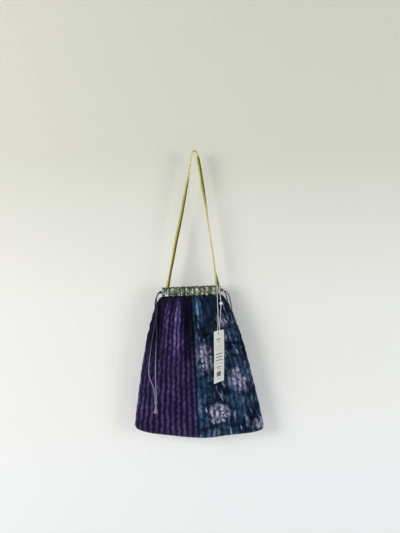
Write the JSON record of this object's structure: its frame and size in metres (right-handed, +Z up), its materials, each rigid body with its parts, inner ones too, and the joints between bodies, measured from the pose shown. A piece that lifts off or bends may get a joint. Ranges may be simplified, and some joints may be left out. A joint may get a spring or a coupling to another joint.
{
  "type": "quilted drawstring bag",
  "caption": "Quilted bag with a gathered drawstring mouth, ruffled casings, one long flat strap and a plain hang tag on a thread.",
  "frame": {"origin": "underside of the strap's top bend, where a hook or a hand carries the bag", "axes": "+Z up along the hanging bag, -Y out of its front, +X to the right as seen from the front"},
  "size_m": [0.2603, 0.0725, 0.5733],
  "materials": {
    "purple_quilting": "satin quilted cloth",
    "print_quilting": "matte printed quilted cotton",
    "casing_print": "matte printed cotton",
    "strap": "glossy flat lace",
    "drawstring": "braided cord",
    "cord_tip": "folded cotton",
    "tag_thread": "twisted thread",
    "card": "uncoated card",
    "bead": "glossy white"
  },
  "bodies": {
    "bag": {"purple_panel": "purple_quilting", "print_panel": "print_quilting", "front_casing": "casing_print", "back_casing": "casing_print", "strap": "strap", "drawstring_left": "drawstring", "drawstring_right": "drawstring", "left_knot": "drawstring", "left_cord_tip": "cord_tip", "right_knot": "drawstring", "right_cord_tip": "cord_tip", "tag_loop": "tag_thread"},
    "tag": {"tag_string": "tag_thread", "tag_card": "card", "tag_bead": "bead"}
  },
  "joints": [
    {"name": "tag_swing", "type": "hinge", "parent": "bag", "child": "tag", "pos_m": [0.0467, -0.01295, -0.26835], "axis": [-1, 0, 0], "range_deg": [0, 60]}
  ]
}
